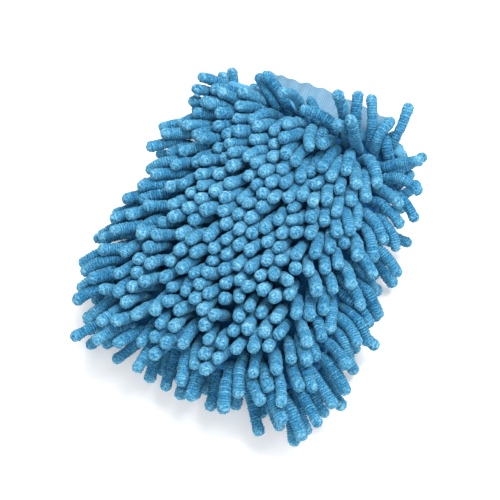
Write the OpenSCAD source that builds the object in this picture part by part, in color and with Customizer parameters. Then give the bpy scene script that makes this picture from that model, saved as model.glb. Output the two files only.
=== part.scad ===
// Wash mitt: a fabric pouch with rows of chenille fingers on both sides and a ribbed cuff.
// The mitt lies flat: X runs across it, Y from the closed end to the cuff, and Z up.
// The origin is on the floor, below the middle of the whole mitt.

/* [Pouch] */
// Width of the pouch at its closed end
pouch_width = 148; // [136:1:158]
// Width of the pouch at its mouth
mouth_width = 124; // [114:1:136]
// Length of the pouch from its closed end to its mouth
pouch_length = 184; // [170:1:200]
// Height of either panel above or below the side seam
panel_rise = 11; // [10.5:0.5:13]
// Radius of the two corners at the closed end
corner_radius = 30; // [20:1:40]
// Thickness of the knitted base fabric that carries the pile
base_fabric = 1.2; // [1:0.1:1.5]
// Thickness of the lining
lining_fabric = 1; // [0.6:0.1:1]
// Width of the seam allowance inside the pouch
seam_allowance = 8; // [5:1:10]

/* [Pile] */
// Rows of chenille on each panel
pile_rows = 21; // [16:1:22]
// Distance between neighbouring fingers of one row
finger_pitch = 9.3; // [8.4:0.1:11]
// Diameter of a chenille finger
finger_diameter = 7.2; // [6:0.1:7.4]
// Length of a chenille finger
finger_length = 31; // [24:1:34]
// Height of the pressed pile between the floor and the lower panel
pressed_pile = 21; // [16:1:24]

/* [Cuff] */
// Width of the ribbed cuff
cuff_width = 92; // [80:1:100]
// Height of the ribbed cuff
cuff_height = 18; // [14:1:19]
// How far the cuff stands out of the mouth
cuff_reach = 30; // [20:1:40]
// Width of the elastic inside the cuff's hem
elastic_width = 12; // [8:1:14]
// Width of the hem band that joins the pouch to the cuff
hem_width = 6; // [4:1:8]

/* [Hidden] */
$fn = 96;
seam_z = pressed_pile + panel_rise;
// The pouch starts here, so that the mitt with its cuff and pile is centred on the origin
closed_y = -100;
mouth_y = closed_y + pouch_length;
// Height of the panels' edges above or below the side seam
edge_rise = 3;
// The panels bend round one long arc across the mitt and one along it
across_radius = arc_radius(pouch_width / 2, panel_rise - edge_rise);
// The panels are highest this far in from the mouth
crest_setback = 28;
along_crest_y = mouth_y - crest_setback;
along_radius = arc_radius(along_crest_y - closed_y, panel_rise - edge_rise);
// The arc along the mitt is this much higher, so that the two arcs never touch at a single point
crest_gap = 0.25;
// Clearance between a fabric layer and the next
layer_gap = 0.3;
lining_inset = base_fabric + layer_gap;

// The pile starts this far from the closed end, the mouth and the sides
closed_margin = 6;
mouth_margin = 9;
side_margin = 4;
row_pitch = (pouch_length - closed_margin - mouth_margin) / (pile_rows - 1);
// Extra lean of the fingers at the sides, the closed end and the mouth, and the lean that
// all fingers of a panel share towards the closed end, in degrees from upright
upper_lean = [62, 28, 50, 14];
lower_lean = [28, 28, 18, 0];
greatest_lean = 48;
// A smaller lean than this counts as upright
least_lean = 4;
// Powers that say how soon the extra lean fades towards the middle of the mitt
side_fade = 3;
end_fade = 9;
// A finger's root runs this far into the pouch before the fabric trims it
root_depth = 5;
// Only the feet touch the floor, and the other fingers stop this far above it
floor_gap = 0.8;
foot_rows = [6, 16];
foot_x = 28;

cuff_root = 4;
cuff_wall = 2.4;
cuff_edge_rise = 3;
cuff_radius = arc_radius(cuff_width / 2, cuff_height / 2 - cuff_edge_rise);
cuff_end_y = mouth_y + cuff_reach;
elastic_fold = 2.5;
elastic_gap = 0.05;
hem_thickness = 1.3;

stitch_length = 3.2;
stitch_pitch = 6;
stitch_width = 0.8;
stitch_height = 0.5;
allowance_thickness = 1.8;
far = 400;

// Name of one row of chenille, with two digits in its number
function row_name(side, row) = str(side, "_pile_row_", row < 10 ? "0" : "", row);

// Radius of the arc that falls by drop over half of its chord
function arc_radius(half_chord, drop) = (half_chord ^ 2 + drop ^ 2) / (2 * drop);

// Fall of an arc at a distance from its crest
function arc_drop(radius, distance) = radius - sqrt(radius ^ 2 - distance ^ 2);

// Height of the panels above or below the side seam
function panel_height(x, y) =
    panel_rise
    - max(arc_drop(across_radius, x), arc_drop(along_radius, y - along_crest_y) - crest_gap);

// Half of the pouch's width where its sides run straight
function side_x(y) =
    let (along = (y - closed_y - corner_radius) / (pouch_length - corner_radius))
    (pouch_width + (mouth_width - pouch_width) * along) / 2;

// Half of the pouch's width anywhere along it, drawn in from its outline by inset
function half_width(y, inset = 0) =
    let (into_corner = closed_y + corner_radius - y)
    into_corner <= 0
        ? side_x(y) - inset
        : pouch_width / 2 - corner_radius + sqrt((corner_radius - inset) ^ 2 - into_corner ^ 2);

// Right half of the pouch's outline, drawn in by inset; the mouth edge moves out by past
function half_outline(inset, past) = concat(
    [for (angle = [-90 : 15 : 0])
        [
            pouch_width / 2 - corner_radius + (corner_radius - inset) * cos(angle),
            closed_y + corner_radius + (corner_radius - inset) * sin(angle),
        ]
    ],
    [[mouth_width / 2 - inset, mouth_y + past]]
);

function mirrored(points) = [for (i = [len(points) - 1 : -1 : 0]) [-points[i].x, points[i].y]];

module pouch_plan(inset, past = 0) {
    right = half_outline(inset, past);
    polygon(concat(right, mirrored(right)));
}

// Cylinder across or along the mitt whose crest is at the height of a panel
module crest_across(inset, side) {
    translate([0, 0, side * (panel_rise - across_radius)])
        rotate([90, 0, 0])
            cylinder(r = across_radius - inset, h = far, center = true, $fn = 360);
}

module crest_along(inset, side) {
    translate([0, along_crest_y, side * (panel_rise + crest_gap - along_radius)])
        rotate([0, 90, 0])
            cylinder(r = along_radius - inset, h = far, center = true, $fn = 720);
}

// One half of the pouch as a solid, drawn in from its outline and from its panel
module half_pouch(side, outline_inset = 0, panel_inset = 0, past = 0, overlap = 0) {
    translate([0, 0, seam_z])
        intersection() {
            translate([0, 0, side > 0 ? -overlap : -panel_rise])
                linear_extrude(panel_rise + overlap)
                    pouch_plan(outline_inset, past);
            crest_across(panel_inset, side);
            crest_along(panel_inset, side);
        }
}

// A thin shell of fabric over one half of the pouch
module fabric_shell(side, outline_inset, panel_inset, thickness, past) {
    difference() {
        half_pouch(side, outline_inset, panel_inset, past);
        half_pouch(side, outline_inset + thickness, panel_inset + thickness, past + 1, 1);
    }
}

module backing(side) {
    color("dodgerblue") fabric_shell(side, 0, 0, base_fabric, 0);
}

module lining(side) {
    outline_inset = base_fabric + seam_allowance + layer_gap;
    color("lightsteelblue")
        fabric_shell(side, outline_inset, lining_inset, lining_fabric, -cuff_root - layer_gap);
}

// The two layers of fabric turned in along the sides and the closed end
module side_seam_allowance() {
    color("steelblue")
        translate([0, 0, seam_z - allowance_thickness / 2])
            linear_extrude(allowance_thickness)
                difference() {
                    pouch_plan(base_fabric, -cuff_root - layer_gap);
                    pouch_plan(base_fabric + seam_allowance, 1);
                }
}

module stitch() {
    cube([stitch_width, stitch_length, stitch_height]);
}

// Stitches that lie on one face of the seam allowance
module seam_stitch_line() {
    inset = base_fabric + seam_allowance / 2;
    taper = atan((pouch_width - mouth_width) / 2 / (pouch_length - corner_radius));
    for (y = [closed_y + corner_radius : stitch_pitch : mouth_y - stitch_pitch - cuff_root]) {
        translate([side_x(y) - inset, y, 0]) rotate([0, 0, taper]) stitch();
        mirror([1, 0, 0]) translate([side_x(y) - inset, y, 0]) rotate([0, 0, taper]) stitch();
    }
    straight = pouch_width / 2 - corner_radius;
    for (x = [-straight : stitch_pitch : straight])
        translate([x, closed_y + inset, 0]) rotate([0, 0, -90]) stitch();
}

module side_seam_stitches() {
    color("royalblue")
        translate([0, 0, seam_z]) {
            translate([0, 0, allowance_thickness / 2]) seam_stitch_line();
            mirror([0, 0, 1]) translate([0, 0, allowance_thickness / 2]) seam_stitch_line();
        }
}

// Cross-section with an upper and a lower arc and short upright sides
module arched_section(width, height, radius) {
    intersection() {
        translate([0, height / 2 - radius]) circle(r = radius, $fn = 360);
        translate([0, radius - height / 2]) circle(r = radius, $fn = 360);
        square([width, height], center = true);
    }
}

module cuff_section(inset) {
    arched_section(cuff_width - 2 * inset, cuff_height - 2 * inset, cuff_radius - inset);
}

module hem_section(grow) {
    arched_section(
        mouth_width + 2 * grow, 2 * (panel_rise + grow), across_radius + grow
    );
}

// A sleeve along Y from one place to another, between two cross-sections
module sleeve(from_y, to_y) {
    translate([0, to_y, seam_z])
        rotate([90, 0, 0])
            linear_extrude(to_y - from_y)
                difference() {
                    children(0);
                    children(1);
                }
}

// A ring of stitches cut out of a thin sleeve
module stitch_ring(y, width) {
    intersection() {
        children();
        for (x = [-width / 2 : stitch_pitch : width / 2 - stitch_length])
            translate([x, y, seam_z - panel_rise * 2])
                cube([stitch_length, stitch_width, panel_rise * 4]);
    }
}

module mouth_hem_band() {
    color("deepskyblue")
        sleeve(mouth_y, mouth_y + hem_width) {
            hem_section(hem_thickness);
            cuff_section(0);
        }
}

module mouth_hem_stitches() {
    color("royalblue")
        stitch_ring(mouth_y + hem_width / 2, mouth_width)
            sleeve(mouth_y, mouth_y + hem_width) {
                hem_section(hem_thickness + stitch_height);
                hem_section(hem_thickness);
            }
}

// The channel in the cuff's folded edge, or the elastic that fills it
module elastic_sleeve(gap) {
    layer = cuff_wall / 3;
    end_y = cuff_end_y - elastic_fold;
    sleeve(end_y - elastic_width + gap, end_y - gap) {
        cuff_section(layer + gap);
        cuff_section(2 * layer - gap);
    }
}

module cuff_rib_knit() {
    color("lightskyblue")
        difference() {
            sleeve(mouth_y - cuff_root, cuff_end_y) {
                cuff_section(0);
                cuff_section(cuff_wall);
            }
            elastic_sleeve(0);
        }
}

module cuff_elastic() {
    color("white") elastic_sleeve(elastic_gap);
}

module cuff_hem_stitches() {
    stitch_y = cuff_end_y - elastic_fold - elastic_width - 2 * stitch_width;
    color("royalblue")
        stitch_ring(stitch_y, cuff_width - 2 * stitch_pitch)
            sleeve(mouth_y + hem_width, cuff_end_y) {
                cuff_section(-stitch_height);
                cuff_section(0);
            }
}

// A chenille finger with a rounded tip, along +Z from its root
module finger(length) {
    r = finger_diameter / 2;
    rotate_extrude($fn = 32)
        polygon(concat(
            [[0, -root_depth], [r, -root_depth]],
            [for (angle = [0 : 30 : 90]) [r * cos(angle), length - r + r * sin(angle)]]
        ));
}

// How far the fingers lean at a place, as degrees towards +X and +Y
function lean_at(x, y, limits) =
    let (
        across = x / half_width(y),
        along = (y - closed_y) / pouch_length,
        to_side = sign(across) * limits[0] * abs(across) ^ side_fade,
        to_end = limits[2] * along ^ end_fade - limits[1] * (1 - along) ^ end_fade - limits[3]
    )
    [to_side, to_end];

// Places of one row's fingers across the mitt; every second row is shifted by half a pitch
function row_places(row, y) =
    let (
        reach = half_width(y, side_margin),
        shift = row % 2 == 0 ? 0 : finger_pitch / 2,
        columns = ceil(reach / finger_pitch)
    )
    [for (i = [-columns - 1 : columns])
        let (x = i * finger_pitch + shift)
        if (abs(x) <= reach) x
    ];

// Length of a finger that ends above the floor, or on it if it is a foot
function lower_length(root_z, lean, gap) =
    let (r = finger_diameter / 2)
    min(finger_length, lean == 0 ? root_z - gap : r + (root_z - gap - r) / cos(lean));

function is_foot(row, x) =
    len(search(row, foot_rows)) > 0 && abs(abs(x) - foot_x) < finger_pitch / 2;

// Everything on the other side of the side seam's plane
module beyond_seam(side) {
    translate([0, 0, seam_z - side * far / 2]) cube(far, center = true);
}

// One row of chenille, trimmed where it meets the base fabric and the side seam
module pile_row(side, row) {
    y = closed_y + closed_margin + (row - 1) * row_pitch;
    limits = side > 0 ? upper_lean : lower_lean;
    color(side > 0 ? "skyblue" : "cornflowerblue")
        difference() {
            for (x = row_places(row, y)) {
                aim = lean_at(x, y, limits);
                lean = norm(aim) < least_lean ? 0 : min(norm(aim), greatest_lean);
                root_z = seam_z + side * panel_height(x, y);
                gap = is_foot(row, x) ? 0 : floor_gap;
                translate([x, y, root_z])
                    rotate([0, side > 0 ? lean : 180 - lean, atan2(aim.y, aim.x)])
                        finger(side > 0 ? finger_length : lower_length(root_z, lean, gap));
            }
            half_pouch(side);
            beyond_seam(side);
        }
}

backing(1);  // upper_backing
backing(-1);  // lower_backing
lining(1);  // upper_lining
lining(-1);  // lower_lining
side_seam_allowance();
side_seam_stitches();
mouth_hem_band();
mouth_hem_stitches();
cuff_rib_knit();
cuff_elastic();
cuff_hem_stitches();
for (row = [1 : pile_rows]) {
    pile_row(1, row);
    pile_row(-1, row);
}
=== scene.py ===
"""Wash mitt: a fabric pouch, its cuff, and the chenille fingers that cover both of its sides.

Every chenille finger grows from the root of one finger of the CAD model. A short simulation bends the
fingers the way the pile is combed, and keeps them off each other, the pouch and the floor. The fabric
pieces take their outlines from the CAD model's own surfaces. All lengths are in metres.
"""
import math

import bpy
import numpy as np
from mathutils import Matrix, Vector
from mathutils.bvhtree import BVHTree


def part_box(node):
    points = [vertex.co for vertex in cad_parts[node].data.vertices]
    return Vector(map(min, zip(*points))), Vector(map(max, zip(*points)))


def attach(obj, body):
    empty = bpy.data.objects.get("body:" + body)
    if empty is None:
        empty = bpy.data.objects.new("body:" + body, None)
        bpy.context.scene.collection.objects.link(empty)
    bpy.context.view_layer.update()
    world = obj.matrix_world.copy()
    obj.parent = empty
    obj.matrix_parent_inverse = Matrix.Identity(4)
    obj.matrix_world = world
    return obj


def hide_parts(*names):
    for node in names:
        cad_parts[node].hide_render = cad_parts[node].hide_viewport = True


MM = 0.001
SEED = 3
BODY = "root"

# Camera
AZIMUTH = math.radians(24.7)
ELEVATION = math.radians(65.0)
CAMERA_DISTANCE = 0.7796
FOCAL_LENGTH = 87
LOOK_AT = Vector((0.0006, -0.0183, 0.03))

# The floor reaches far enough to fill every view
FLOOR_HALF_WIDTH = 3.0

# Chenille fingers: their size, how finely their curves and skins are divided, how deep a root sinks into
# the knit, and how far a skin stays above the floor
FINGER_RADIUS = 3.6 * MM
FINGER_LENGTH = 32 * MM
RADIUS_SPREAD = 0.04
LENGTH_SPREAD = 0.06
JOINTS = 9
RINGS = 44
TIP_RINGS = 5
SIDES = 16
ROOT_SINK = 0.8 * MM
FLOOR_GAP = 0.1 * MM

# Where the fingers grow, against the CAD model: spread out towards the sides, the first row nearer the
# closed end, and the last row nearer the mouth. A row at CROWDED_FROM moves to CROWDED_TO, and the rows
# beyond it crowd together.
EDGE_SPREAD = 0.085
END_SHIFT = 2 * MM
MOUTH_SHIFT = 3.5 * MM
CROWDED_FROM = 49 * MM
CROWDED_TO = 59.5 * MM

# How much longer the fingers get in the closed end's right corner, and where that corner is: places
# across (-1 to 1) and along (0 to 1) the mitt
CORNER_GROWTH = 0.22
CORNER_ACROSS = (0.5, 1)
CORNER_ALONG = (0.25, 0)

# Ribs round the cuff, courses of loops along it, how far it is scrunched together along its length, and
# the rows of points on its outer face
CUFF_RIBS = 130
CUFF_COURSES = 60
CUFF_SCRUNCH = 0.8
CUFF_ROWS = 44

# Simulation of the pile: its steps, and the distance that the fingers keep, which grows towards their tips
BENDING_STEPS = 190
SETTLING_STEPS = 50
CONTACT = 1.93 * FINGER_RADIUS
TIP_FLUFF = 0.25
NEIGHBOUR_REACH = 1.6 * CONTACT
NEIGHBOUR_STEPS = 6

# What one step does: the share of the way to the combed shape, to a straight line, out of another finger
# and out of the pouch, and how far a joint sags
BENDING = 0.24
STRAIGHTENING = 0.12
PUSH = 0.28
LIFT = 0.5
SAG = 0.04 * MM

# The floor starts this far down, and is up when 1 / FLOOR_RISE of the bending is done. At the end no
# joint is left below LOWEST_JOINT.
FLOOR_DROP = 14 * MM
FLOOR_RISE = 1.4
LOWEST_JOINT = 1.1 * FINGER_RADIUS

# How each side is combed: the place across (-1 to 1) and along (0 to 1) the mitt, how far a finger
# leans there at its root, and how far at its tip, in radians towards +X and +Y
UPPER_COMBING = (
    (-1.0, 0.0, -0.6, -0.7, -1.1, -1.5),
    (-0.5, 0.0, -0.1, -0.9, -0.1, -1.6),
    (0.0, 0.0, 0.1, -0.9, 0.3, -1.6),
    (0.5, 0.0, 0.3, -0.8, 0.7, -1.7),
    (1.0, 0.0, 0.9, -0.75, 1.4, -1.2),
    (-0.6, 0.13, -0.2, -0.35, -0.3, -0.75),
    (-0.2, 0.13, 0.0, -0.3, -0.15, -0.75),
    (0.2, 0.13, 0.1, -0.3, 0.0, -0.75),
    (0.6, 0.13, 0.25, -0.35, 0.35, -0.75),
    (-1.0, 0.3, -0.6, -0.45, -1.15, -1.4),
    (-0.6, 0.3, -0.15, -0.35, -0.25, -0.75),
    (0.0, 0.3, 0.1, -0.35, -0.15, -0.8),
    (0.5, 0.3, 0.15, -0.35, 0.05, -0.85),
    (0.8, 0.3, 0.45, -0.4, 0.7, -1.2),
    (1.0, 0.3, 0.65, 0.2, 1.6, -1.7),
    (-1.0, 0.55, -0.65, -0.45, -1.15, -1.4),
    (-0.55, 0.55, -0.15, -0.4, -0.25, -0.9),
    (0.0, 0.55, 0.1, -0.4, -0.2, -0.9),
    (0.45, 0.55, 0.15, -0.4, -0.05, -0.95),
    (0.75, 0.55, 0.3, -0.45, 0.6, -1.2),
    (1.0, 0.55, 0.65, 0.3, 1.7, -1.6),
    (-1.0, 0.8, -0.6, -0.4, -1.2, -1.2),
    (-0.6, 0.8, -0.35, -0.45, -0.5, -0.95),
    (-0.1, 0.8, 0.0, -0.45, -0.3, -1.0),
    (0.35, 0.8, 0.1, -0.45, -0.15, -1.1),
    (0.7, 0.8, 0.25, -0.4, 0.6, -1.4),
    (1.0, 0.8, 0.7, 0.4, 1.7, -1.3),
    (-1.0, 1.0, -0.5, -0.1, -1.0, -0.3),
    (-0.7, 1.0, -0.5, -0.1, -1.0, -0.6),
    (-0.3, 1.0, -0.4, -0.1, -0.9, -1.0),
    (0.0, 0.96, -0.3, 0.3, -0.6, -2.0),
    (0.35, 0.95, 0.1, 0.7, -0.1, -2.7),
    (0.7, 0.95, 0.3, 0.6, 0.4, -2.3),
    (1.0, 1.0, 0.7, 0.8, 1.2, 0.6),
)
LOWER_COMBING = (
    (-1.0, 0.0, -0.5, -0.5, -0.8, -0.9),
    (0.0, 0.0, 0.15, -0.8, 0.3, -1.3),
    (1.0, 0.0, 0.8, -0.8, 1.2, -1.1),
    (-1.0, 0.5, -0.7, -0.35, -1.25, -0.75),
    (0.0, 0.3, 0.0, -0.5, 0.0, -1.0),
    (0.0, 0.7, 0.0, -0.4, 0.0, -0.9),
    (1.0, 0.5, 0.7, -0.2, 1.35, -0.4),
    (-0.95, 1.0, -0.6, 0.9, -0.9, 2.0),
    (-0.5, 1.0, 0.0, 0.6, 0.0, 1.1),
    (0.5, 1.0, 0.0, 0.6, 0.0, 1.1),
    (0.95, 1.0, 0.6, 0.9, 0.9, 2.0),
)

# How fast a guide's pull falls off with the distance from it
GUIDE_BLUR = 0.01
GUIDE_FALLOFF = 2.5

# Stray fingers by the mouth stand up in a fan and lean back over the cuff: where they set in along the
# mitt, the share of the fingers that stray at places across it, the fan's middle, the lean of root and tip
# in the fan and over the cuff, the range that a finger's lean back is scaled by, and their extra length
STRAY_ALONG = (0.9, 0.965)
STRAY_SHARE = ((-0.6, -0.3, 0.1, 0.4), (0, 0.4, 0.8, 1))
STRAY_MIDDLE = 0.85
STRAY_FAN = (0.5, 1.1)
STRAY_LEAN_BACK = (0.65, 1.35)
STRAY_LEAN_SCALE = (0.4, 1.1)
STRAY_LENGTH = 1.18

# Random lean in radians: everywhere, more in the tangle by the mouth's right side, and more at the rim
ROOT_LEAN = 0.07
ROOT_TANGLE = 0.2
TIP_LEAN = 0.2
TIP_TANGLE = 0.45
TIP_RIM_LEAN = 0.08
TANGLE_ALONG = (0.85, 0.95)
TANGLE_ACROSS = (-0.5, 0.0)
RIM_ACROSS = (0.6, 0.9)

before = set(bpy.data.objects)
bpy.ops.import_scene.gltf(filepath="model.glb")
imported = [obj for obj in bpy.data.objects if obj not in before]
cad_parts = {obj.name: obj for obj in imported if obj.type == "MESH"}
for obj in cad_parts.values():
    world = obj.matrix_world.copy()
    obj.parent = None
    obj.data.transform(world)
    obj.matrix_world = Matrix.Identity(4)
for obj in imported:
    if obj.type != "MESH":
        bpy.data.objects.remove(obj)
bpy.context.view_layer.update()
random = np.random.default_rng(SEED)


# ---------------------------------------------------------------- camera, light and floor


def add_camera():
    """A camera that looks down at the mitt, past its closed end."""
    data = bpy.data.cameras.new("camera")
    data.lens = FOCAL_LENGTH
    camera = bpy.data.objects.new("camera", data)
    away = Vector((
        math.sin(AZIMUTH) * math.cos(ELEVATION),
        -math.cos(AZIMUTH) * math.cos(ELEVATION),
        math.sin(ELEVATION),
    ))
    camera.location = LOOK_AT + CAMERA_DISTANCE * away
    camera.rotation_euler = (-away).to_track_quat("-Z", "Y").to_euler()
    bpy.context.scene.collection.objects.link(camera)
    bpy.context.scene.camera = camera


def add_softbox(name, bearing, elevation, distance, size, power):
    """A square area light that faces the mitt; bearing 0 is at the camera's right, 90 at the far side."""
    data = bpy.data.lights.new(name, "AREA")
    data.size = size
    data.energy = power
    light = bpy.data.objects.new(name, data)
    turn = AZIMUTH + math.radians(bearing)
    rise = math.radians(elevation)
    towards = Vector((math.cos(turn) * math.cos(rise), math.sin(turn) * math.cos(rise), math.sin(rise)))
    light.location = LOOK_AT + distance * towards
    light.rotation_euler = (-towards).to_track_quat("-Z", "Y").to_euler()
    bpy.context.scene.collection.objects.link(light)


def add_world(strength):
    """Even white light from all around."""
    world = bpy.data.worlds.new("studio")
    world.use_nodes = True
    background = world.node_tree.nodes["Background"]
    background.inputs["Color"].default_value = (1, 1, 1, 1)
    background.inputs["Strength"].default_value = strength
    bpy.context.scene.world = world


def add_floor():
    """A pale matt floor that glows a little, so that it stays white under the mitt."""
    half = FLOOR_HALF_WIDTH
    corners = [(-half, -half, 0), (half, -half, 0), (half, half, 0), (-half, half, 0)]
    mesh = bpy.data.meshes.new("floor")
    mesh.from_pydata(corners, [], [(0, 1, 2, 3)])
    floor = bpy.data.objects.new("floor", mesh)
    bpy.context.scene.collection.objects.link(floor)
    paper = bpy.data.materials.new("floor_paper")
    paper.use_nodes = True
    shader = paper.node_tree.nodes["Principled BSDF"]
    shader.inputs["Base Color"].default_value = (0.85, 0.85, 0.855, 1)
    shader.inputs["Emission Color"].default_value = (1, 1, 1, 1)
    shader.inputs["Emission Strength"].default_value = 0.2
    shader.inputs["Roughness"].default_value = 0.9
    mesh.materials.append(paper)


# ---------------------------------------------------------------- small helpers


def smooth_step(low, high, value):
    """0 at low, 1 at high, and an S-curve between them; low may be the greater one."""
    t = np.clip((value - low) / (high - low), 0, 1)
    return t * t * (3 - 2 * t)


def unit(v):
    """Vectors at length 1."""
    return v / np.maximum(np.linalg.norm(v, axis=-1, keepdims=True), 1e-12)


def add_piece(name, points, faces, material, replaced):
    """A smooth mesh that rides on the mitt's body and stands for CAD nodes."""
    mesh = bpy.data.meshes.new(name)
    mesh.from_pydata(np.asarray(points).tolist(), [], faces)
    mesh.polygons.foreach_set("use_smooth", [True] * len(mesh.polygons))
    mesh.materials.append(material)
    piece = bpy.data.objects.new(name, mesh)
    bpy.context.scene.collection.objects.link(piece)
    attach(piece, BODY)
    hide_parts(*replaced)
    return piece


def point_attribute(piece, name, values):
    """Gives every vertex of a piece a value that its material can read."""
    attribute = piece.data.attributes.new(name, "FLOAT", "POINT")
    attribute.data.foreach_set("value", np.asarray(values, np.float32).ravel())


def islands(name):
    """The vertices of each separate solid of a CAD node."""
    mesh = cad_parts[name].data
    points = np.empty(len(mesh.vertices) * 3)
    mesh.vertices.foreach_get("co", points)
    edges = np.empty(len(mesh.edges) * 2, int)
    mesh.edges.foreach_get("vertices", edges)
    weld = 0.01 * MM
    keys = np.round(points.reshape(-1, 3) / weld).astype(int)
    welded, place = np.unique(keys, axis=0, return_inverse=True)
    edges = place.ravel()[edges].reshape(-1, 2)
    label = np.arange(len(welded))
    while True:
        before = label.copy()
        low = np.minimum(label[edges[:, 0]], label[edges[:, 1]])
        np.minimum.at(label, edges[:, 0], low)
        np.minimum.at(label, edges[:, 1], low)
        label = label[label]
        if np.array_equal(label, before):
            return [welded[label == k] * weld for k in np.unique(label)]


def surface(name):
    """A CAD node as a surface that rays can hit."""
    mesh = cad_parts[name].data
    corners = [vertex.co.copy() for vertex in mesh.vertices]
    return BVHTree.FromPolygons(corners, [tuple(polygon.vertices) for polygon in mesh.polygons])


def cast(shell, start, direction):
    """Where a ray first hits a surface, or None."""
    return shell.ray_cast(Vector(start), Vector(direction))[0]


# ---------------------------------------------------------------- the pouch, as the pile sees it


class Pouch:
    """Outline of the pouch, and height of its panels over and under the side seam, from the CAD backing.

    The rays that measure it start at REACH, and the outline is measured just above the seam.
    """

    SPACING = 2 * MM
    REACH = 0.2
    EDGE = 0.02 * MM
    ABOVE_SEAM = 1 * MM
    OUTLINE_POINTS = 120

    def __init__(self):
        low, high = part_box("upper_backing")
        self.seam_z = low.z
        self.closed_y = low.y
        self.mouth_y = high.y
        self.low = np.array((low.x, low.y))
        self.count = np.ceil((np.array((high.x, high.y)) - self.low) / self.SPACING).astype(int) + 1
        self.heights = {1: self.sample("upper_backing", 1), -1: self.sample("lower_backing", -1)}
        self.outline_y = np.linspace(low.y + self.EDGE, high.y - self.EDGE, self.OUTLINE_POINTS)
        shell = surface("upper_backing")
        above_seam = self.seam_z + self.ABOVE_SEAM
        hits = [cast(shell, (self.REACH, y, above_seam), (-1, 0, 0)) for y in self.outline_y]
        self.outline_x = np.array([hit.x for hit in hits])

    def sample(self, name, side):
        """Heights of a panel beyond the side seam on an even grid."""
        shell = surface(name)
        heights = np.zeros(self.count)
        for i in range(self.count[0]):
            for j in range(self.count[1]):
                x, y = self.low + self.SPACING * np.array((i, j))
                hit = cast(shell, (x, y, self.seam_z + side * self.REACH), (0, 0, -side))
                heights[i, j] = 0 if hit is None else abs(hit.z - self.seam_z)
        return heights

    def half_width(self, y):
        """From the middle of the pouch to its side seam."""
        return np.interp(y, self.outline_y, self.outline_x)

    def height(self, x, y, side):
        """Height of a panel beyond the side seam; nothing outside the pouch's outline."""
        cells = (np.stack((x, y), -1) - self.low) / self.SPACING
        cell = np.clip(np.floor(cells).astype(int), 0, self.count - 2)
        inside = np.all((cells >= 0) & (cells <= self.count - 1), axis=-1)
        t = np.clip(cells - cell, 0, 1)
        grid = self.heights[side]
        i, j = cell[..., 0], cell[..., 1]
        near = grid[i, j] * (1 - t[..., 0]) + grid[i + 1, j] * t[..., 0]
        far = grid[i, j + 1] * (1 - t[..., 0]) + grid[i + 1, j + 1] * t[..., 0]
        return np.where(inside, near * (1 - t[..., 1]) + far * t[..., 1], 0)


# ---------------------------------------------------------------- fingers: how they grow and bend


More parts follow.
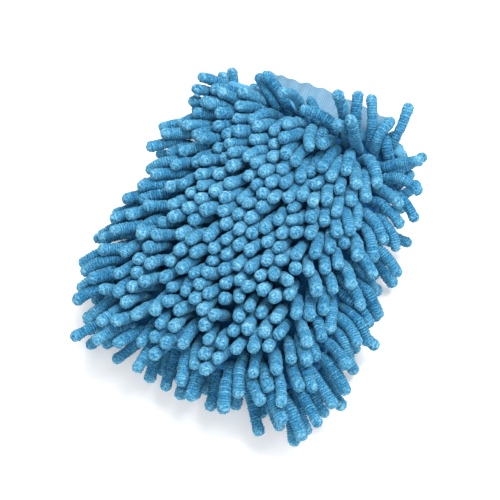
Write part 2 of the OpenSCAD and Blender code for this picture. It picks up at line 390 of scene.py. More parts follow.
class Pile:
    """Every finger as a chain of joints, with its row and its side of the mitt.

    A vertex within TOUCHING of a panel belongs to a root. Joints keep off a panel by their radius where it
    stands at least FULL_CLEARANCE beyond the side seam, and by less nearer to the seam.
    """

    TOUCHING = 0.05 * MM
    FULL_CLEARANCE = 2 * MM

    def __init__(self, pouch):
        self.rows = sorted(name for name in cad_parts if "_pile_row_" in name)
        panels = {word: surface(f"{word}_backing") for word in ("upper", "lower")}
        roots, side, row = [], [], []
        for index, name in enumerate(self.rows):
            panel = panels[name.split("_")[0]]
            for points in islands(name):
                on_panel = [p for p in points if panel.find_nearest(Vector(p))[3] < self.TOUCHING]
                roots.append(np.mean(on_panel, axis=0))
                side.append(1 if name.startswith("upper") else -1)
                row.append(index)
        self.side = np.array(side)
        self.root = self.spread(np.array(roots), pouch)
        self.row = np.array(row)
        self.count = len(roots)
        self.across = self.root[:, 0] / (pouch.half_width(self.root[:, 1]) - FINGER_RADIUS)
        self.along = (self.root[:, 1] - pouch.closed_y) / (pouch.mouth_y - pouch.closed_y)
        corner = smooth_step(*CORNER_ACROSS, self.across) * smooth_step(*CORNER_ALONG, self.along)
        longer = 1 + CORNER_GROWTH * corner
        length = FINGER_LENGTH * longer * random.normal(1, LENGTH_SPREAD, self.count)
        self.step = (length - FINGER_RADIUS) / (JOINTS - 1)
        up = self.side[:, None] * np.array((0, 0, 1))
        distance = np.arange(JOINTS)[:, None] * self.step[:, None, None]
        self.joints = self.root[:, None] + up[:, None] * distance
        self.comb()

    def spread(self, roots, pouch):
        """Moves the roots outwards, so that the pile reaches the side seams and crowds at the mouth."""
        moved = roots.copy()
        moved[:, 0] *= 1 + EDGE_SPREAD * (roots[:, 0] / roots[:, 0].max()) ** 2
        first, last = roots[:, 1].min(), roots[:, 1].max()
        places = (first - END_SHIFT, CROWDED_TO, last + MOUTH_SHIFT)
        moved[:, 1] = np.interp(roots[:, 1], (first, CROWDED_FROM, last), places)
        for side in (1, -1):
            own = self.side == side
            moved[own, 2] = pouch.seam_z + side * pouch.height(moved[own, 0], moved[own, 1], side)
        return moved

    def comb(self):
        """Lean of each finger at its root and at its tip, with strays and tangle by the mouth."""
        self.lean = np.zeros((self.count, 2, 2))
        for side, guides in ((1, UPPER_COMBING), (-1, LOWER_COMBING)):
            guides = np.array(guides)
            own = self.side == side
            gap = np.stack((self.across, self.along), -1)[own, None] - guides[None, :, :2]
            weight = 1 / (np.sum(gap**2, axis=-1) + GUIDE_BLUR) ** GUIDE_FALLOFF
            weight /= weight.sum(axis=1, keepdims=True)
            self.lean[own] = (weight @ guides[:, 2:]).reshape(-1, 2, 2)
        chance = smooth_step(*STRAY_ALONG, self.along) * np.interp(self.across, *STRAY_SHARE)
        stray = (self.side > 0) & (random.uniform(0, 1, self.count) < chance)
        self.lean[stray, :, 0] = (self.across[stray, None] - STRAY_MIDDLE) * STRAY_FAN
        self.lean[stray, :, 1] = random.uniform(*STRAY_LEAN_SCALE, (stray.sum(), 1)) * STRAY_LEAN_BACK
        self.step[stray] *= STRAY_LENGTH
        tangle = smooth_step(*TANGLE_ALONG, self.along) * smooth_step(*TANGLE_ACROSS, self.across)
        rim = smooth_step(*RIM_ACROSS, np.abs(self.across))
        at_root = ROOT_LEAN + ROOT_TANGLE * tangle
        at_tip = TIP_LEAN + TIP_TANGLE * tangle + TIP_RIM_LEAN * rim
        self.lean[:, 0] += random.normal(0, 1, (self.count, 2)) * at_root[:, None]
        self.lean[:, 1] += random.normal(0, 1, (self.count, 2)) * at_tip[:, None]

    def wanted_directions(self, share):
        """Direction of every link when the combing has come to a share of its full strength."""
        reach = (np.arange(1, JOINTS) / (JOINTS - 1))[None, :, None]
        lean = share * (self.lean[:, :1] * (1 - reach) + self.lean[:, 1:] * reach)
        angle = np.linalg.norm(lean, axis=-1, keepdims=True)
        flat = lean / np.maximum(angle, 1e-9) * np.sin(angle)
        return np.concatenate((flat, np.cos(angle) * self.side[:, None, None]), axis=-1)

    def keep_off_pouch(self, pouch):
        """Moves joints out of the pouch; beyond its outline a finger may hang past the side seam."""
        for side in (1, -1):
            own = self.side == side
            joints = self.joints[own]
            height = pouch.height(joints[..., 0], joints[..., 1], side)
            clearance = FINGER_RADIUS * smooth_step(0, self.FULL_CLEARANCE, height)
            nearest = pouch.seam_z + side * (height + clearance)
            inside = (height > 0) & (side * (nearest - joints[..., 2]) > 0)
            joints[..., 2] += np.where(inside, LIFT * (nearest - joints[..., 2]), 0)
            self.joints[own] = joints

    def keep_length(self):
        """Puts every joint back at its distance from the one before, from the root on."""
        self.joints[:, 0] = self.root
        for j in range(1, JOINTS):
            link = unit(self.joints[:, j] - self.joints[:, j - 1])
            self.joints[:, j] = self.joints[:, j - 1] + link * self.step[:, None]

    def settle(self, pouch):
        """Bends the fingers step by step to the way they are combed, and keeps them apart."""
        for step in range(BENDING_STEPS + SETTLING_STEPS):
            share = min(1.0, (step + 1) / BENDING_STEPS)
            floor = -FLOOR_DROP * max(0.0, 1 - FLOOR_RISE * share)
            joints = self.joints
            points = joints.reshape(-1, 3)
            if step % NEIGHBOUR_STEPS == 0:
                a, b = near_pairs(points, NEIGHBOUR_REACH)
            aim = joints[:, :-1] + self.wanted_directions(share) * self.step[:, None, None]
            joints[:, 1:] += BENDING * (aim - joints[:, 1:])
            middle = 0.5 * (joints[:, :-2] + joints[:, 2:])
            joints[:, 1:-1] += STRAIGHTENING * (middle - joints[:, 1:-1])
            joints[:, 1:, 2] -= SAG
            push_apart(points, a, b)
            self.keep_off_pouch(pouch)
            joints[..., 2] = np.maximum(joints[..., 2], floor + FINGER_RADIUS)
            self.keep_length()
        self.joints[..., 2] = np.maximum(self.joints[..., 2], LOWEST_JOINT)


def near_pairs(points, reach):
    """Pairs of joints of different fingers closer than reach, found by sorting them into cells."""
    finger = np.arange(len(points)) // JOINTS
    cell = np.floor((points - points.min(0)) / reach).astype(np.int64) + 1
    size = cell.max(0) + 2
    key = (cell[:, 0] * size[1] + cell[:, 1]) * size[2] + cell[:, 2]
    order = np.argsort(key, kind="stable")
    sorted_keys = key[order]
    found = []
    for shift in np.ndindex(3, 3, 3):
        dx, dy, dz = np.array(shift) - 1
        other = key + (dx * size[1] + dy) * size[2] + dz
        begin = np.searchsorted(sorted_keys, other, "left")
        count = np.searchsorted(sorted_keys, other, "right") - begin
        a = np.repeat(np.arange(len(points)), count)
        place = np.arange(count.sum()) - np.repeat(np.cumsum(count) - count, count)
        b = order[np.repeat(begin, count) + place]
        keep = (a < b) & (finger[a] != finger[b])
        keep[keep] = np.linalg.norm(points[a[keep]] - points[b[keep]], axis=1) < reach
        found.append((a[keep], b[keep]))
    return np.concatenate([f[0] for f in found]), np.concatenate([f[1] for f in found])


def push_apart(points, a, b):
    """Moves touching joints of different fingers away from each other."""
    gap = points[a] - points[b]
    distance = np.linalg.norm(gap, axis=1)
    tipward = (a % JOINTS + b % JOINTS) / (2 * (JOINTS - 1))
    contact = CONTACT * (1 + TIP_FLUFF * tipward)
    touching = distance < contact
    a, b, gap = a[touching], b[touching], gap[touching]
    overlap, distance = (contact - distance)[touching], distance[touching]
    push = PUSH * overlap[:, None] * gap / np.maximum(distance, 1e-9)[:, None]
    for axis in range(3):
        points[:, axis] += np.bincount(a, push[:, axis], len(points))
        points[:, axis] -= np.bincount(b, push[:, axis], len(points))


# ---------------------------------------------------------------- fingers: their skin


# Shares of a finger's radius: its ridges, its fuzz, its thinner root, and its slow swells along the way
RIDGE = 0.12
FUZZ = 0.03
ROOT_WIDTH = 0.94
BODY_GROWTH = 0.1
SLOW_SWELL = 0.045

# Along a finger, from 0 to 1: where it has its full width, and where the tuft at its end starts
BODY_START = 0.6
TUFT_START = 0.86

# Turn of the slow swells over a finger's length, in radians
SWELL_TURN = (3, 9)

# Unevenness of the ridges: the lowest one as a share of the highest, how deep the gaps in them are, and
# how far a ring of points tilts
LOWEST_RIDGE = 0.35
RIDGE_GAPS = 0.4
RING_TILT = 0.25 * MM

# The rounded end: heights and roughness as shares of the radius, how blunt it is, and how far open its
# last ring stays
TIP_HEIGHT = 0.9
END_HEIGHT = 0.93
TIP_ROUGHNESS = 0.07
TIP_JITTER = 0.04
TIP_BLUNTNESS = 0.8
TIP_OPENING = 0.6


def curve_points(joints, stations):
    """Points at stations, from 0 to 1, along a smooth curve through each finger's joints."""
    before = 2 * joints[:, :1] - joints[:, 1:2]
    after = 2 * joints[:, -1:] - joints[:, -2:-1]
    padded = np.concatenate((before, joints, after), axis=1)
    place = stations * (JOINTS - 1)
    k = np.minimum(place.astype(int), JOINTS - 2)
    t = (place - k)[None, :, None]
    p0, p1, p2, p3 = (padded[:, k + n] for n in range(4))
    cubic = (3 * p1 - p0 - 3 * p2 + p3) * t**3
    return 0.5 * (2 * p1 + (p2 - p0) * t + (2 * p0 - 5 * p1 + 4 * p2 - p3) * t**2 + cubic)


def directions_across(line):
    """Two directions across each finger at every ring, carried along it without twist."""
    tangent = unit(np.gradient(line, axis=1))
    u = np.empty_like(line)
    clear_of_x = np.abs(tangent[:, 0, :1]) < 0.8
    u[:, 0] = unit(np.cross(tangent[:, 0], np.where(clear_of_x, (1.0, 0, 0), (0, 1.0, 0))))
    for k in range(1, line.shape[1]):
        along = np.sum(u[:, k - 1] * tangent[:, k], -1, keepdims=True)
        u[:, k] = unit(u[:, k - 1] - tangent[:, k] * along)
    return tangent, u, np.cross(tangent, u)


def slow_swells(count, body):
    """Slow swells along each finger, as shares of its radius."""
    phase = random.uniform(0, 2 * math.pi, (count, 1))
    return 1 + SLOW_SWELL * np.sin(phase + body * random.uniform(*SWELL_TURN, (count, 1)))


def ridge_crests(count, body):
    """Crest of every skin point, from 0 to 1: each second ring is a ridge, and the end is a loose tuft."""
    ridged = (np.arange(RINGS) % 2)[:, None]
    tuft = smooth_step(TUFT_START, 1, body)[:, None]
    loose = random.uniform(0, 1, (count, RINGS, SIDES))
    firm = ridged * random.uniform(LOWEST_RIDGE, 1, (count, RINGS, 1)) * (1 - RIDGE_GAPS * loose)
    return firm * (1 - tuft) + loose * tuft


def tip_rings(centre, tangent, ring, radius, end_swell):
    """Shrinking rough rings that round off the far end of every finger."""
    count = len(centre)
    rings = []
    for k in range(1, TIP_RINGS + 1):
        turn = 0.5 * math.pi * k / (TIP_RINGS + TIP_OPENING)
        rough = 1 + random.normal(0, TIP_ROUGHNESS, (count, SIDES))
        width = (radius * end_swell * math.cos(turn) ** TIP_BLUNTNESS)[:, None] * rough
        jitter = random.normal(0, TIP_JITTER, (count, SIDES))
        rise = radius[:, None] * (TIP_HEIGHT * math.sin(turn) + jitter)
        rings.append(centre[:, None] + tangent[:, None] * rise[..., None] + ring * width[..., None])
    return np.stack(rings, 1)


def finger_skins(joints, radius):
    """Points of every finger's ridged skin as (finger, ring, side, xyz), and each finger's end point.

    The last array says how near each point is to the crest of a ridge, from 0 to 1.
    """
    count = len(joints)
    body = np.linspace(0, 1, RINGS)
    line = curve_points(joints, body)
    tangent, u, v = directions_across(line)
    slow = slow_swells(count, body)
    width = radius[:, None] * ((ROOT_WIDTH + BODY_GROWTH * smooth_step(0, BODY_START, body)) * slow)
    crest = ridge_crests(count, body)
    ridge = 1 + RIDGE * (2 * crest - 1) + random.normal(0, FUZZ, (count, RINGS, SIDES))
    angle = np.arange(SIDES) * 2 * math.pi / SIDES
    ring = u[:, :, None] * np.cos(angle)[:, None] + v[:, :, None] * np.sin(angle)[:, None]
    skin = line[:, :, None] + ring * (width[..., None] * ridge)[..., None]
    tilt = np.cos(angle + random.uniform(0, 2 * math.pi, (count, RINGS, 1)))
    skin += tangent[:, :, None] * (random.normal(0, RING_TILT, (count, RINGS, 1)) * tilt)[..., None]
    tips = tip_rings(line[:, -1], tangent[:, -1], ring[:, -1], radius, slow[:, -1])
    root = skin[:, :1] - tangent[:, :1, None] * ROOT_SINK
    end = line[:, -1] + tangent[:, -1] * (END_HEIGHT * radius)[:, None]
    tip_crest = random.uniform(0, 1, (count, TIP_RINGS, SIDES))
    skin = np.concatenate((root, skin, tips), axis=1)
    return skin, end, np.concatenate((crest[:, :1], crest, tip_crest), axis=1)


def tube_faces(rings, sides, first):
    """Quads between the rings of a tube, a cap on its first ring and a fan to the point after its last."""
    faces = []
    for k in range(rings - 1):
        a = first + k * sides
        for s in range(sides):
            following = (s + 1) % sides
            faces.append((a + s, a + following, a + sides + following, a + sides + s))
    last = first + (rings - 1) * sides
    faces += [(last + s, last + (s + 1) % sides, last + sides) for s in range(sides)]
    faces.append(tuple(first + s for s in reversed(range(sides))))
    return faces


def add_pile(pile, material):
    """One piece for each row of fingers."""
    radius = FINGER_RADIUS * random.normal(1, RADIUS_SPREAD, pile.count)
    skins, ends, crests = finger_skins(pile.joints, radius)
    skins[..., 2] = np.maximum(skins[..., 2], FLOOR_GAP)
    ends[..., 2] = np.maximum(ends[..., 2], FLOOR_GAP)
    rings = skins.shape[1]
    tone = random.uniform(0, 1, pile.count)
    along = np.append(np.repeat(np.linspace(0, 1, rings), SIDES), 1)
    for index, name in enumerate(pile.rows):
        members = np.flatnonzero(pile.row == index)
        points = np.concatenate([np.vstack((skins[m].reshape(-1, 3), ends[m])) for m in members])
        faces = [f for k in range(len(members)) for f in tube_faces(rings, SIDES, k * len(along))]
        piece = add_piece(f"{name}_fingers", points, faces, material, [name])
        # The chenille material reads along to paint shade, darker towards a finger's root and lighter
        # towards its tip.
        point_attribute(piece, "along", np.tile(along, len(members)))
        # The chenille material reads crest to paint shade into the grooves and a highlight onto the crests.
        point_attribute(piece, "crest", np.concatenate([np.append(crests[m].ravel(), 1) for m in members]))
        point_attribute(piece, "tone", np.repeat(tone[members], len(along)))


# ---------------------------------------------------------------- fabric pieces


def grid_normals(grid, closed):
    """Normals of a grid of points; closed joins the last column to the first."""
    if closed:
        wide = np.concatenate((grid[:, -1:], grid, grid[:, :1]), axis=1)
        along_columns = (wide[:, 2:] - wide[:, :-2]) / 2
    else:
        along_columns = np.gradient(grid, axis=1)
    return unit(np.cross(along_columns, np.gradient(grid, axis=0)))


def rim_face(a, b, inside, turned):
    """A face at a fabric's edge, from its outer to its inner side."""
    face = (a, a + inside, b + inside, b)
    return face[::-1] if turned else face


def add_fabric(name, grid, thickness, closed, material, replaced):
    """A layer of fabric whose outer face is a grid of points, with its inner face a thickness behind."""
    rows, columns = grid.shape[:2]
    inner = grid - grid_normals(grid, closed) * thickness
    points = np.concatenate((grid.reshape(-1, 3), inner.reshape(-1, 3)))
    inside = rows * columns
    spans = columns if closed else columns - 1
    faces = []
    for r in range(rows - 1):
        for c in range(spans):
            a, b = r * columns + c, r * columns + (c + 1) % columns
            faces.append((a, b, b + columns, a + columns))
            faces.append((inside + a, inside + a + columns, inside + b + columns, inside + b))
    for c in range(spans):
        for r, turned in ((0, False), (rows - 1, True)):
            a, b = r * columns + c, r * columns + (c + 1) % columns
            faces.append(rim_face(a, b, inside, turned))
    if not closed:
        for r in range(rows - 1):
            for c, turned in ((0, True), (columns - 1, False)):
                a = r * columns + c
                faces.append(rim_face(a, a + columns, inside, turned))
    piece = add_piece(name, points, faces, material, replaced)
    across = np.tile(np.arange(columns) / columns, rows)
    along = np.repeat(np.linspace(0, 1, rows), columns)
    point_attribute(piece, "across", np.tile(across, 2))
    point_attribute(piece, "along", np.tile(along, 2))
    return piece


def panel_grid(pouch, side, inset, drop, roots):
    """A panel's face, drawn in from the pouch's outline by inset and from its face by drop.

    Its edge rolls over to the seam, and the knit is pulled up a little where a finger grows.
    """
    rows, columns = 150, 120
    roll_width = 4 * MM
    pull_height, pull_width = 0.5 * MM, 2.4 * MM
    sampled_to, sampled_share = 1 * MM, 0.985
    y = np.linspace(pouch.closed_y + inset, pouch.mouth_y, rows)[:, None]
    s = np.linspace(-1, 1, columns)[None, :]
    half = pouch.half_width(np.maximum(y - inset, pouch.closed_y)) - inset
    x = half * s
    y = y + 0 * x
    edge = np.minimum(1, np.minimum((half - np.abs(x)) / roll_width, (y - y[0, 0]) / roll_width))
    roll = np.sqrt(np.maximum(0, 1 - (1 - edge) ** 2))
    sampled_y = np.clip(y, pouch.closed_y + sampled_to, pouch.mouth_y - sampled_to)
    height = pouch.height(sampled_share * x, sampled_y, side) - drop
    for root in roots:
        away = (x - root[0]) ** 2 + (y - root[1]) ** 2
        height += pull_height * np.exp(-away / (2 * pull_width**2))
    grid = np.stack((x, y, pouch.seam_z + side * roll * height), axis=-1)
    return grid if side > 0 else grid[:, ::-1]


def add_panels(pouch, pile, knit, lining):
    """The two panels of base fabric, and the two linings inside them."""
    knit_thickness, lining_thickness, lining_drop = 1.1 * MM, 0.8 * MM, 1.6 * MM
    for side, word in ((1, "upper"), (-1, "lower")):
        outer = panel_grid(pouch, side, 0, 0, pile.root[pile.side == side])
        panel = add_fabric(
            f"{word}_panel", outer, knit_thickness, False, knit, [f"{word}_backing"],
        )
        lining_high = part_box(f"{word}_lining")[1]
        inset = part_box("upper_backing")[1].x - lining_high.x
        inner = panel_grid(pouch, side, inset, lining_drop, ())
        inner = inner[inner[:, 0, 1] < lining_high.y]
        sheet = add_fabric(
            f"{word}_pocket_lining", inner, lining_thickness, False, lining, [f"{word}_lining"],
        )


def distances(line):
    """Distance along a closed line to each of its points, and back to the first."""
    closed = np.vstack((line, line[:1]))
    return np.append(0, np.cumsum(np.linalg.norm(np.diff(closed, axis=0), axis=1)))


def read_along(values, distance, place):
    """Values given at the points of a closed line, read at places along it."""
    closed = np.vstack((values, values[:1]))
    return np.stack([np.interp(place, distance, closed[:, k]) for k in range(closed.shape[1])], axis=-1)


def even_loop(loop, count):
    """A closed line of points, spaced evenly and with its corners rounded."""
    rounding_passes = count // 40
    distance = distances(loop)
    even = read_along(loop, distance, np.linspace(0, distance[-1], count, endpoint=False))
    for _ in range(rounding_passes):
        even = (np.roll(even, 1, axis=0) + 2 * even + np.roll(even, -1, axis=0)) / 4
    return even


def section(name, y, seam_z):
    """The outer outline, as x and z, of a CAD sleeve cut at y."""
    shell = surface(name)
    reach = Pouch.REACH
    samples, side_gap = 80, 0.02
    half = cast(shell, (reach, y, seam_z), (-1, 0, 0)).x
    xs = half * np.cos(np.linspace(side_gap, math.pi - side_gap, samples))
    top = [cast(shell, (x, y, seam_z + reach), (0, 0, -1)).z for x in xs]
    bottom = [cast(shell, (x, y, seam_z - reach), (0, 0, 1)).z for x in xs[::-1]]
    return np.vstack((np.stack((xs, top), -1), np.stack((xs[::-1], bottom), -1)))


def loop_normals(loop):
    """Outward directions across a closed outline."""
    tangent = unit(np.roll(loop, -1, axis=0) - np.roll(loop, 1, axis=0))
    return np.stack((tangent[:, 1], -tangent[:, 0]), axis=-1)


def sweep(rows):
    """Grid of points from rows of an outline, as x and z, and its y."""
    return np.stack([np.stack((loop[:, 0], y + 0 * loop[:, 0], loop[:, 1]), -1) for loop, y in rows])


def add_hem(pouch, material):
    """The band that binds the mouth: it rolls over the pouch's edge and is gathered in to the cuff."""
    low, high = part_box("mouth_hem_band")
    count, band_rows, gather_rows = 320, 22, 16
    thickness = 0.9 * MM
    front, back, cuff_y = low.y - 2.5 * MM, low.y + 4 * MM, high.y + 2 * MM
    tuck, roll_height, first_gather = 1.6 * MM, 1.9 * MM, 0.08
    ripple, pleats, pleat_height, slack = 0.7 * MM, 44, 1.3 * MM, 1.2 * MM
    outer = even_loop(section("mouth_hem_band", (low.y + high.y) / 2, pouch.seam_z), count)
    inner = even_loop(section("cuff_rib_knit", cuff_y, pouch.seam_z), count)
    out = loop_normals(outer)
    around = np.arange(count) / count * 2 * math.pi
    gather = np.sin(pleats * around + 1.6 * np.sin(3 * around)) * (0.75 + 0.25 * np.sin(7 * around))
    wave = ripple * (np.sin(3 * around + 1) + 0.6 * np.sin(7 * around))
    rows = []
    for t in np.linspace(0, 1, band_rows):
        bulge = roll_height * math.sin(math.pi * t) ** 0.4 - tuck
        loop = outer + out * (bulge + 0.3 * wave)[:, None]
        rows.append((loop, front + (back - front) * t + wave))
    for t in np.linspace(first_gather, 1, gather_rows):
        loop = (outer - out * tuck) * (1 - t) + inner * t
        pleat = pleat_height * gather * math.sin(math.pi * t) ** 0.7
        y = back - slack * math.sin(math.pi * t) + wave * (1 - t)
        rows.append((loop + out * pleat[:, None], y))
    grid = sweep(rows)
    band = add_fabric("mouth_hem", grid, thickness, True, material, ["mouth_hem_band"])
    return grid[:band_rows]


def add_cuff(pouch, knit, rubber):
    """The ribbed cuff: a doubled sleeve with a rolled edge, drawn in where the elastic runs inside it."""
    low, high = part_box("cuff_rib_knit")
    elastic_low, elastic_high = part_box("cuff_elastic")
    count, roll_rows, elastic_rows = 520, 7, 14
    wall, elastic_depth = 1.8 * MM, 0.65 * MM
    knit_thickness, elastic_thickness = 0.45 * MM, 0.5 * MM
    rib_height, flare_height, draw_depth, edge_ripple = 0.16 * MM, 0.5, 1.0, 0.5 * MM
    fold_height, elastic_fold_height, roll_gap = 0.4, 0.55, 0.35
    loop = even_loop(section("cuff_rib_knit", (low.y + high.y) / 2, pouch.seam_z), count)
    out = loop_normals(loop)
    around = np.arange(count) / count * 2 * math.pi
    rib = rib_height * np.cos(CUFF_RIBS * around)
    fold = np.sin(21 * around + 1.3 * np.sin(2 * around)) + 0.6 * np.sin(13 * around + 2)

    def row(y, depth, ribbing):
        """One outline of the sleeve: drawn in at the elastic, folded there, and flared at its edge."""
        drawn = smooth_step(elastic_low.y - 6 * MM, elastic_low.y + 3 * MM, y)
        flare = smooth_step(elastic_high.y - 2 * MM, high.y, y)
        folds = fold * (fold_height + elastic_fold_height * drawn) * MM
        offset = depth + (flare_height * flare - draw_depth * drawn) * MM + folds + ribbing
        scrunched = low.y + CUFF_SCRUNCH * (y - low.y)
        return loop + out * offset[:, None], scrunched + edge_ripple * flare * np.sin(5 * around)

    straight = np.linspace(low.y, high.y - wall / 2, CUFF_ROWS)
    rows = [row(y, 0, rib) for y in straight]
    for turn in np.linspace(roll_gap, math.pi - roll_gap, roll_rows):
        y = high.y - wall / 2 * (1 - math.sin(turn))
        rows.append(row(y, -wall / 2 * (1 - math.cos(turn)), 0 * rib))
    rows += [row(y, -wall, -rib) for y in straight[::-1]]
    grid = sweep(rows)
    cuff = add_fabric("cuff_sleeve", grid, knit_thickness, True, knit, ["cuff_rib_knit"])
    elastic_y = np.linspace(elastic_low.y, elastic_high.y, elastic_rows)
    band = sweep([row(y, -elastic_depth, 0 * rib) for y in elastic_y])
    elastic = add_fabric(
        "cuff_elastic_band", band, elastic_thickness, True, rubber, ["cuff_elastic"],
    )
    return grid


def add_stitches(name, grid, row, length, pitch, width, material, replaced):
    """Short threads laid along one row of a closed grid of points, just above the fabric."""
    sides, rings = 8, 7
    rise, thinnest = 0.35, 0.05
    line, out = grid[row], grid_normals(grid, True)[row]
    distance = distances(line)
    share = np.linspace(0, 1, rings)
    angle = np.arange(sides) * 2 * math.pi / sides
    points, faces = [], []
    for start in np.arange(0, distance[-1] - length, pitch):
        place = start + share * length
        centre = read_along(line, distance, place)
        normal = unit(read_along(out, distance, place))
        side = np.cross(unit(np.gradient(centre, axis=0)), normal)
        thick = width / 2 * np.sqrt(np.maximum(thinnest, 1 - (2 * share - 1) ** 4))
        centre = centre + normal * (rise * width * np.sin(math.pi * share))[:, None]
        ring = normal[:, None] * np.cos(angle)[:, None] + side[:, None] * np.sin(angle)[:, None]
        tube = centre[:, None] + ring * thick[:, None, None]
        faces += tube_faces(rings, sides, len(points) * (rings * sides + 1))
        points.append(np.vstack((tube.reshape(-1, 3), centre[-1:])))
    return add_piece(name, np.concatenate(points), faces, material, replaced)


# ---------------------------------------------------------------- materials


class Fabric:
    """A fabric material's node tree, with short calls for the nodes that the fabrics share."""

    SHEEN_TINT = (0.3, 0.75, 1, 1)

    def __init__(self, name, roughness, sheen):
        self.material = bpy.data.materials.new(name)
        self.material.use_nodes = True
        self.tree = self.material.node_tree
        self.shader = self.tree.nodes["Principled BSDF"]
        self.position = self.tree.nodes.new("ShaderNodeTexCoord").outputs["Object"]
        self.shader.inputs["Roughness"].default_value = roughness
        self.shader.inputs["Sheen Weight"].default_value = sheen
        self.shader.inputs["Sheen Roughness"].default_value = 0.45
        self.shader.inputs["Sheen Tint"].default_value = self.SHEEN_TINT
        self.shader.inputs["Specular IOR Level"].default_value = 0.15

    def attribute(self, name):
        """The value that a piece's vertices carry under this name."""
        node = self.tree.nodes.new("ShaderNodeAttribute")
        node.attribute_name = name
        return node.outputs["Fac"]

    def noise(self, feature, detail, roughness):
        """Noise whose features are about this many metres across."""
        node = self.tree.nodes.new("ShaderNodeTexNoise")
        node.inputs["Scale"].default_value = 1 / feature
        node.inputs["Detail"].default_value = detail
        node.inputs["Roughness"].default_value = roughness
        self.tree.links.new(self.position, node.inputs["Vector"])
        return node.outputs["Fac"]

    def math(self, operation, *values):
        """The result of one operation on numbers or on other nodes' outputs."""
        node = self.tree.nodes.new("ShaderNodeMath")
        node.operation = operation
        for socket, value in zip(node.inputs, values):
            if isinstance(value, (int, float)):
                socket.default_value = value
            else:
                self.tree.links.new(value, socket)
        return node.outputs[0]

    def mixture(self, start, *parts):
        """The sum of a start value and of outputs times their weights."""
        total = start
        for output, weight in parts:
            total = self.math("MULTIPLY_ADD", output, weight, total)
        return total

    def colour(self, factor, *stops):
        """The base colour, read from a ramp of places and colours."""
        node = self.tree.nodes.new("ShaderNodeValToRGB")
        elements = node.color_ramp.elements
        while len(elements) < len(stops):
            elements.new(0.5)
        for element, (place, colour) in zip(elements, stops):
            element.position = place
            element.color = (*colour, 1)
        self.tree.links.new(factor, node.inputs["Fac"])
        self.tree.links.new(node.outputs["Color"], self.shader.inputs["Base Color"])

    def bump(self, *layers):
        """Bumps from heights, each with its depth in metres."""
        normal = None
        for height, depth in layers:
            node = self.tree.nodes.new("ShaderNodeBump")
            node.inputs["Strength"].default_value = 1
            node.inputs["Distance"].default_value = depth
            self.tree.links.new(height, node.inputs["Height"])
            if normal is not None:
                self.tree.links.new(normal, node.inputs["Normal"])
            normal = node.outputs["Normal"]
        self.tree.links.new(normal, self.shader.inputs["Normal"])


def chenille_material():
    """Woolly chenille with painted shade in the grooves and at a finger's root, and painted highlight on
    the crests and at the tip.
    """
    f = Fabric("chenille_pile", roughness=0.92, sheen=0.3)
    clumps = f.noise(2.4 * MM, detail=3, roughness=0.6)
    wool = f.noise(1.0 * MM, detail=2, roughness=0.65)
    fibres = f.noise(0.45 * MM, detail=2, roughness=0.7)
    crest = f.attribute("crest")
    # Painted shade and highlight: the crest value makes the grooves between ridge rings darker and the
    # crests lighter.
    painted_ridge_shade = f.math("MULTIPLY", crest, f.mixture(0.3, (wool, 1.3)))
    # The clump, wool and fibre noises and the random tone are the yarn's own mottle; the crest term is
    # painted shade.
    mottle_and_painted_shade = ((clumps, 0.35), (wool, 0.9), (fibres, 0.5), (painted_ridge_shade, 0.58), (f.attribute("tone"), 0.12))
    # Painted shade: the along value darkens each finger towards its root, down among the crowded fingers,
    # and lightens it towards the tip.
    value = f.mixture(-0.785, *mottle_and_painted_shade, (f.attribute("along"), 0.13))
    f.colour(
        value,
        (0.0, (0.0005, 0.02, 0.075)),
        (0.3, (0.02, 0.17, 0.34)),
        (0.6, (0.09, 0.33, 0.52)),
        (0.95, (0.27, 0.58, 0.72)),
    )
    f.bump((clumps, 0.3 * MM), (wool, 0.5 * MM), (fibres, 0.25 * MM))
    return f.material


def knit_material(name, dark, light, feature):
    """A fine knit: a mottled colour with a small even grain, whose features are this many metres across."""
    f = Fabric(name, roughness=0.85, sheen=0.15)
    grain = f.noise(feature, detail=1, roughness=0.4)
    cloud = f.noise(9 * feature, detail=2, roughness=0.5)
    f.colour(f.mixture(-0.1, (grain, 0.7), (cloud, 0.5)), (0.2, dark), (0.8, light))
    f.bump((grain, 0.25 * feature), (cloud, 0.3 * feature))
    return f.material


def ribbed_material(name, dark, light):
    """A rib knit: stripes that follow the cuff's ribs, crossed by fine courses of loops."""
    f = Fabric(name, roughness=0.88, sheen=0.3)
    rib = f.math("SINE", f.math("MULTIPLY", f.attribute("across"), CUFF_RIBS * 2 * math.pi))
    course = f.math("SINE", f.math("MULTIPLY", f.attribute("along"), CUFF_COURSES * 2 * math.pi))
    loops = f.math("MULTIPLY", rib, course)
    grain = f.noise(0.5 * MM, detail=2, roughness=0.6)
    cloud = f.noise(8 * MM, detail=2, roughness=0.5)
    value = f.mixture(0.05, (rib, 0.12), (loops, 0.1), (grain, 0.5), (cloud, 0.4))
    f.colour(value, (0.2, dark), (0.8, light))
    f.bump((loops, 0.12 * MM), (grain, 0.15 * MM))
    return f.material


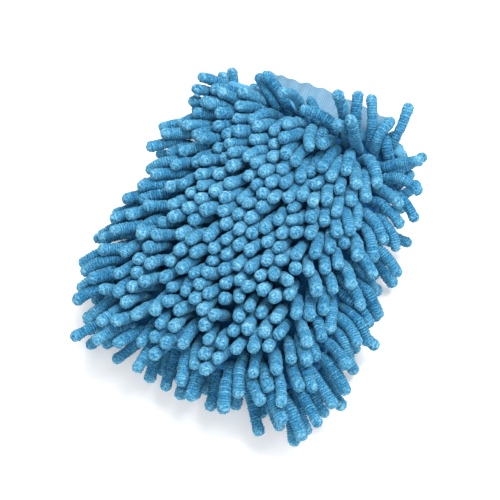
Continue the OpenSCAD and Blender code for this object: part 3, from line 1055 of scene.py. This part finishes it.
def thread_material():
    """Sewing thread with a fine twist."""
    f = Fabric("thread", roughness=0.6, sheen=0.2)
    twist = f.noise(0.3 * MM, detail=1, roughness=0.5)
    f.colour(twist, (0.3, (0.03, 0.17, 0.36)), (0.7, (0.08, 0.32, 0.56)))
    f.bump((twist, 0.1 * MM))
    return f.material


def dress(name, material):
    """Gives a shown CAD node a fabric material."""
    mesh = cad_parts[name].data
    mesh.materials.clear()
    mesh.materials.append(material)


# ---------------------------------------------------------------- build


bpy.context.scene.view_settings.view_transform = "Standard"
add_camera()
add_world(strength=0.66)
add_softbox("key", bearing=48, elevation=66, distance=1.6, size=0.9, power=31)
add_softbox("fill", bearing=262, elevation=45, distance=1.8, size=1.4, power=12)
add_floor()

base_knit = knit_material("base_knit", dark=(0.005, 0.085, 0.24), light=(0.02, 0.17, 0.4), feature=1 * MM)
lining_knit = knit_material("lining_knit", dark=(0.2, 0.3, 0.4), light=(0.32, 0.44, 0.54), feature=0.6 * MM)
hem_fabric = knit_material("hem_fabric", dark=(0.06, 0.28, 0.48), light=(0.12, 0.4, 0.6), feature=0.7 * MM)
rubber = knit_material("elastic", dark=(0.5, 0.5, 0.48), light=(0.75, 0.75, 0.72), feature=0.8 * MM)
cuff_knit = ribbed_material("cuff_knit", dark=(0.13, 0.27, 0.4), light=(0.25, 0.42, 0.56))
thread = thread_material()

pouch = Pouch()
pile = Pile(pouch)
pile.settle(pouch)
add_pile(pile, chenille_material())
add_panels(pouch, pile, base_knit, lining_knit)
hem_grid = add_hem(pouch, hem_fabric)
cuff_grid = add_cuff(pouch, cuff_knit, rubber)
add_stitches(
    "hem_threads", hem_grid, len(hem_grid) // 2,
    length=3.2 * MM, pitch=5 * MM, width=0.6 * MM, material=thread, replaced=["mouth_hem_stitches"],
)
add_stitches(
    "cuff_threads", cuff_grid, CUFF_ROWS // 2,
    length=2.6 * MM, pitch=4 * MM, width=0.5 * MM, material=thread, replaced=["cuff_hem_stitches"],
)
dress("side_seam_allowance", base_knit)
dress("side_seam_stitches", thread)
